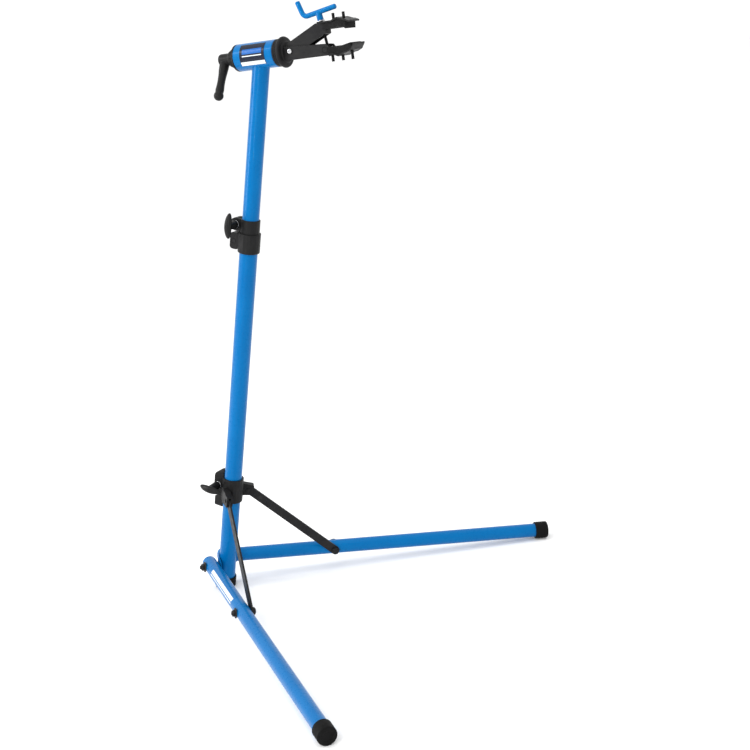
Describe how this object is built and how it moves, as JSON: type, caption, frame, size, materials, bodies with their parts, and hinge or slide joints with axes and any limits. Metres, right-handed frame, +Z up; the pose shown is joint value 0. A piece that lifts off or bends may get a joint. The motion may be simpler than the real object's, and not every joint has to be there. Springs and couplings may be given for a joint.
{
  "type": "bicycle repair stand",
  "caption": "Folding bicycle repair stand with a leaning telescopic mast, two splayed legs on struts and a screw clamp head that turns; blue tubes with black collars.",
  "frame": {"origin": "on the floor under the centre of the mast foot, on the stand's plane of near symmetry", "axes": "+X towards the clamp side, +Y towards the left leg, +Z up"},
  "size_m": [0.6228, 1.0382, 1.2637],
  "materials": {
    "black_plastic": "satin moulded black",
    "black_steel": "satin black coating",
    "blue_paint": "gloss blue enamel",
    "label": "printed film",
    "rubber": "matte moulded",
    "zinc": "bright zinc plate"
  },
  "bodies": {
    "base": {"foot_cap": "rubber", "lower_tube": "blue_paint", "leg_bracket": "blue_paint", "pivot_bolt_left": "black_steel", "pivot_bolt_right": "black_steel", "pivot_nut_left": "black_steel", "pivot_nut_right": "black_steel", "height_collar": "black_plastic", "height_stud": "zinc", "height_washer": "zinc", "height_nut": "zinc", "collar_screw": "black_steel", "collar_screw_nut": "black_steel"},
    "height_knob": {"height_knob": "black_plastic"},
    "mast": {"upper_tube": "blue_paint", "tube_bush": "black_plastic", "head_barrel": "blue_paint", "front_bush": "black_plastic", "rear_bush": "black_plastic", "label_plate": "label"},
    "head": {"head_spindle": "black_plastic", "lock_washer": "zinc", "lower_jaw": "black_steel", "lower_pad": "rubber", "jaw_pivot_bolt": "zinc", "jaw_pivot_nut": "zinc"},
    "lock_lever": {"lock_lever": "black_plastic"},
    "upper_jaw": {"upper_jaw": "black_steel", "upper_pad": "rubber"},
    "trunnion": {"trunnion_nut": "black_steel"},
    "washer": {"thrust_washer": "zinc"},
    "handle": {"jaw_handle": "blue_paint", "jaw_screw": "zinc"},
    "leg_left": {"leg_tube_left": "blue_paint", "leg_plug_left": "blue_paint", "leg_cap_left": "rubber", "strut_bolt_left": "black_steel"},
    "leg_right": {"leg_tube_right": "blue_paint", "leg_plug_right": "blue_paint", "leg_cap_right": "rubber", "strut_bolt_right": "black_steel"},
    "collar": {"sliding_collar": "black_plastic", "collar_stud": "zinc", "collar_washer": "zinc", "collar_nut": "zinc", "strut_pin_left": "zinc", "strut_pin_right": "zinc"},
    "collar_knob": {"collar_knob": "black_plastic"},
    "strut_left": {"strut_left": "black_steel", "strut_nut_left": "black_steel"},
    "strut_right": {"strut_right": "black_steel", "strut_nut_right": "black_steel"}
  },
  "joints": [
    {"name": "mast_height", "type": "slide", "parent": "base", "child": "mast", "axis": [0.1925, 0, 0.9813], "range_m": [-0.19, 0.22]},
    {"name": "height_knob_turn", "type": "hinge", "parent": "base", "child": "height_knob", "pos_m": [0.13325, -0.038, 0.83242], "axis": [0, -1, 0], "range_deg": [0, 540]},
    {"name": "leg_fold_left", "type": "hinge", "parent": "base", "child": "leg_left", "pos_m": [-0.0067, 0.03495, 0.0594], "axis": [0.6175, -0.7771, -0.1212], "range_deg": [0, 76]},
    {"name": "collar_slide", "type": "slide", "parent": "base", "child": "collar", "axis": [0.1925, 0, 0.9813], "range_m": [-0.001, 0.3232]},
    {"name": "strut_turn_left", "type": "hinge", "parent": "collar", "child": "strut_left", "pos_m": [0.07327, 0.02329, 0.22409], "axis": [-0.6175, 0.7771, 0.1212], "range_deg": [-0.5, 53.03]},
    {"name": "leg_fold_right", "type": "hinge", "parent": "base", "child": "leg_right", "pos_m": [-0.0067, -0.03495, 0.0594], "axis": [-0.6175, -0.7771, 0.1212], "range_deg": [-0.5, 76.5]},
    {"name": "strut_turn_right", "type": "hinge", "parent": "collar", "child": "strut_right", "pos_m": [0.07327, -0.02329, 0.22409], "axis": [0.6175, 0.7771, -0.1212], "range_deg": [-0.5, 53.03]},
    {"name": "collar_knob_turn", "type": "hinge", "parent": "collar", "child": "collar_knob", "pos_m": [0.01733, -0.045, 0.24933], "axis": [0, -1, 0], "range_deg": [0, 540]},
    {"name": "head_spin", "type": "hinge", "parent": "mast", "child": "head", "pos_m": [0.22891, 0, 1.16676], "axis": [0.9981, 0, 0.061], "continuous": true},
    {"name": "lock_lever_turn", "type": "hinge", "parent": "head", "child": "lock_lever", "pos_m": [0.16892, 0, 1.16309], "axis": [-0.9981, 0, -0.061], "range_deg": [0, 180]},
    {"name": "jaw_close", "type": "hinge", "parent": "head", "child": "upper_jaw", "pos_m": [0.30445, 0, 1.17158], "axis": [0, 1, 0], "range_deg": [-4.2, 11.2]},
    {"name": "screw_tilt", "type": "hinge", "parent": "head", "child": "trunnion", "pos_m": [0.38269, 0, 1.17015], "axis": [0, 1, 0], "range_deg": [-3.02, 7.96]},
    {"name": "screw_travel", "type": "slide", "parent": "trunnion", "child": "washer", "axis": [-0.225, 0, 0.9744], "range_m": [-0.01507, 0.00567]},
    {"name": "handle_spin", "type": "hinge", "parent": "washer", "child": "handle", "pos_m": [0.36649, 0, 1.24031], "axis": [0.225, 0, -0.9744], "range_deg": [-644.49, 1772.35]}
  ],
  "couplings": [
    {"joint": "collar_slide", "follows": "leg_fold_left", "m_per_rad": 0.24291},
    {"joint": "strut_turn_left", "follows": "leg_fold_left", "ratio": 0.69122},
    {"joint": "strut_turn_right", "follows": "leg_fold_left", "ratio": 0.69122},
    {"joint": "leg_fold_right", "follows": "leg_fold_left", "ratio": 1},
    {"joint": "jaw_close", "follows": "handle_spin", "ratio": 0.0062064},
    {"joint": "screw_tilt", "follows": "handle_spin", "ratio": 0.0043783},
    {"joint": "screw_travel", "follows": "handle_spin", "m_per_rad": -0.00047746}
  ]
}
